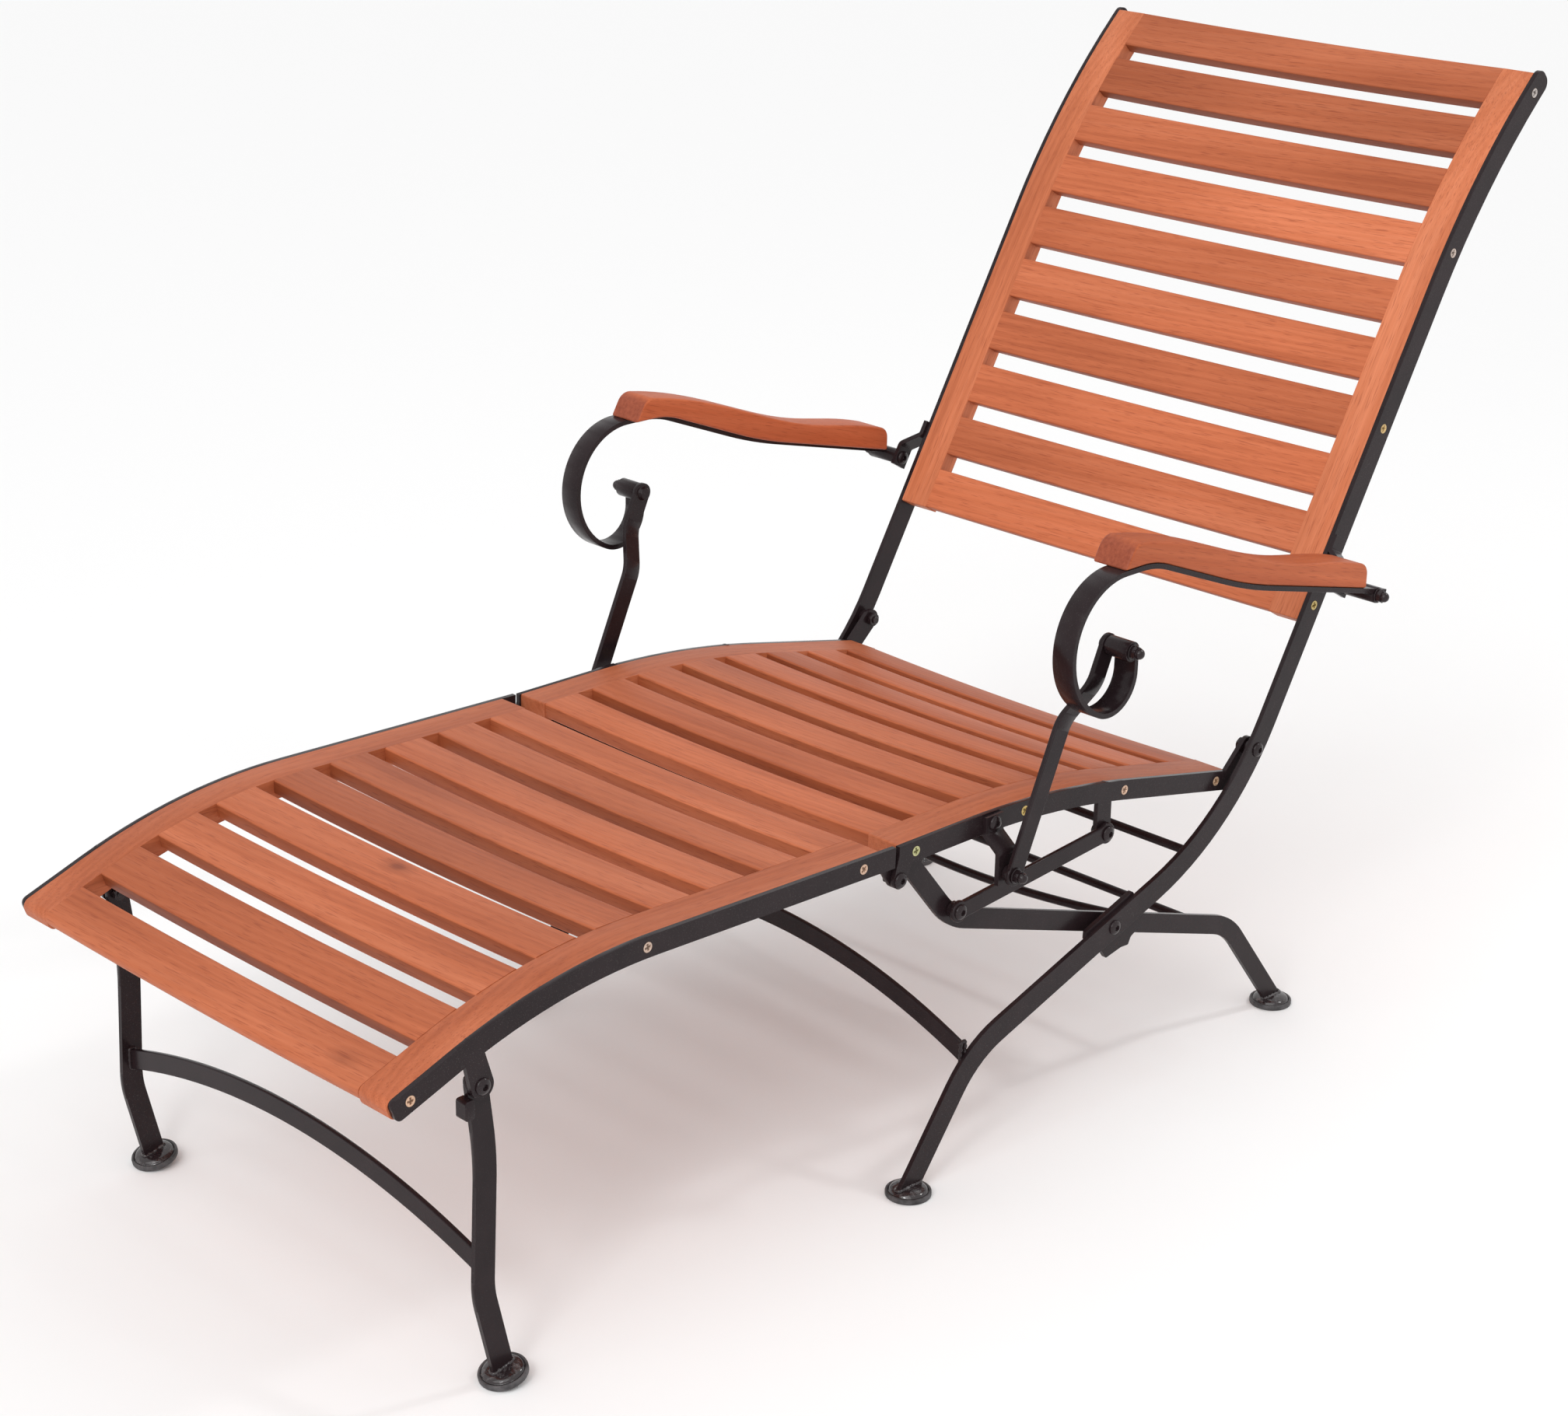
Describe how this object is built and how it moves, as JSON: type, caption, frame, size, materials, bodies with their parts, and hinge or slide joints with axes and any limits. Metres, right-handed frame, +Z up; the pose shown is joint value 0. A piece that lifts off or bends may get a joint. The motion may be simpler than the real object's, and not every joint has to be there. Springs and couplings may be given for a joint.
{
  "type": "deck chair",
  "caption": "Folding deck chair with slatted wooden back, seat and footrest on a flat-bar steel frame, scrolled armrests and hinged front legs.",
  "frame": {"origin": "on the floor under the middle of the chair's length and width", "axes": "+X towards the foot end, +Y to the sitter's left, +Z up"},
  "size_m": [1.5038, 0.7168, 0.9507],
  "materials": {
    "oiled_hardwood": "oiled reddish hardwood with fine grain",
    "black_steel": "glossy black powder coat",
    "black_bolt": "satin black",
    "zinc_screw": "yellow zinc plate",
    "black_rubber": "matt black"
  },
  "bodies": {
    "back_frame": {"back_rail_left": "black_steel", "back_rail_right": "black_steel", "back_stile_left": "oiled_hardwood", "back_stile_right": "oiled_hardwood", "back_slats": "oiled_hardwood", "back_screws": "zinc_screw", "mid_crossbar": "black_steel", "back_rod": "black_steel", "mid_foot_caps": "black_rubber", "mid_foot_plates": "black_steel", "stop_plates": "black_steel", "arm_bracket_left": "black_steel", "arm_bracket_right": "black_steel", "seat_pivot_bolts": "black_bolt", "cross_pivot_bolts": "black_bolt", "arm_pivot_bolts": "black_bolt"},
    "rear_legs": {"rear_leg_left": "black_steel", "rear_leg_right": "black_steel", "seat_rest_rod": "black_steel", "rear_leg_rod": "black_steel", "rear_leg_stretcher": "black_steel", "rear_foot_caps": "black_rubber", "rear_foot_plates": "black_steel"},
    "seat": {"seat_rail_left": "black_steel", "seat_rail_right": "black_steel", "seat_stile_left": "oiled_hardwood", "seat_stile_right": "oiled_hardwood", "seat_slats": "oiled_hardwood", "seat_screws": "zinc_screw", "arm_hanger_left": "black_steel", "arm_hanger_right": "black_steel", "hanger_bolts": "black_bolt", "link_pivot_bolts": "black_bolt", "support_pivot_bolts": "black_bolt", "foot_hinge_pins": "black_bolt"},
    "link_left": {"link_left": "black_steel", "link_bolt_left": "black_bolt"},
    "link_right": {"link_right": "black_steel", "link_bolt_right": "black_bolt"},
    "armrest_left": {"armrest_bar_left": "black_steel", "armrest_pad_left": "oiled_hardwood", "grip_nut_left": "black_bolt"},
    "armrest_right": {"armrest_bar_right": "black_steel", "armrest_pad_right": "oiled_hardwood", "grip_nut_right": "black_bolt"},
    "arm_support_left": {"arm_support_left": "black_steel"},
    "arm_support_right": {"arm_support_right": "black_steel"},
    "footrest": {"footrest_rail_left": "black_steel", "footrest_rail_right": "black_steel", "footrest_stile_left": "oiled_hardwood", "footrest_stile_right": "oiled_hardwood", "footrest_slats": "oiled_hardwood", "footrest_screws": "zinc_screw", "leg_pivot_bolts": "black_bolt"},
    "front_legs": {"front_leg_left": "black_steel", "front_leg_right": "black_steel", "front_crossbar": "black_steel", "front_foot_caps": "black_rubber", "front_foot_plates": "black_steel"}
  },
  "joints": [
    {"name": "seat_fold", "type": "hinge", "parent": "back_frame", "child": "seat", "pos_m": [-0.3385, 0, 0.316], "axis": [0, -1, 0], "range_deg": [0, 100]},
    {"name": "rear_leg_fold", "type": "hinge", "parent": "back_frame", "child": "rear_legs", "pos_m": [-0.126, 0, 0.1867], "axis": [0, -1, 0], "range_deg": [0, 83.32]},
    {"name": "link_fold_left", "type": "hinge", "parent": "seat", "child": "link_left", "pos_m": [-0.115, 0.268, 0.287], "axis": [0, 1, 0], "range_deg": [0, 132.3]},
    {"name": "link_fold_right", "type": "hinge", "parent": "seat", "child": "link_right", "pos_m": [-0.115, -0.268, 0.287], "axis": [0, 1, 0], "range_deg": [0, 132.3]},
    {"name": "armrest_fold_left", "type": "hinge", "parent": "back_frame", "child": "armrest_left", "pos_m": [-0.425, 0.325, 0.477], "axis": [0, -1, 0], "range_deg": [0, 109.52]},
    {"name": "armrest_fold_right", "type": "hinge", "parent": "back_frame", "child": "armrest_right", "pos_m": [-0.425, -0.325, 0.477], "axis": [0, -1, 0], "range_deg": [0, 109.52]},
    {"name": "arm_support_fold_left", "type": "hinge", "parent": "seat", "child": "arm_support_left", "pos_m": [0.05, 0.295, 0.301], "axis": [0, 1, 0], "range_deg": [0, 67.42]},
    {"name": "arm_support_fold_right", "type": "hinge", "parent": "seat", "child": "arm_support_right", "pos_m": [0.05, -0.295, 0.301], "axis": [0, 1, 0], "range_deg": [0, 67.42]},
    {"name": "footrest_fold", "type": "hinge", "parent": "seat", "child": "footrest", "pos_m": [0.171, 0, 0.322], "axis": [0, 1, 0], "range_deg": [0, 75]},
    {"name": "front_leg_fold", "type": "hinge", "parent": "footrest", "child": "front_legs", "pos_m": [0.657, 0, 0.288], "axis": [0, 1, 0], "range_deg": [0, 85]}
  ],
  "couplings": [
    {"joint": "rear_leg_fold", "follows": "seat_fold", "ratio": 0.8312},
    {"joint": "link_fold_left", "follows": "seat_fold", "ratio": 1.321},
    {"joint": "link_fold_right", "follows": "seat_fold", "ratio": 1.321},
    {"joint": "armrest_fold_left", "follows": "seat_fold", "ratio": 1.0932},
    {"joint": "armrest_fold_right", "follows": "seat_fold", "ratio": 1.0932},
    {"joint": "arm_support_fold_left", "follows": "seat_fold", "ratio": 0.6722},
    {"joint": "arm_support_fold_right", "follows": "seat_fold", "ratio": 0.6722}
  ]
}
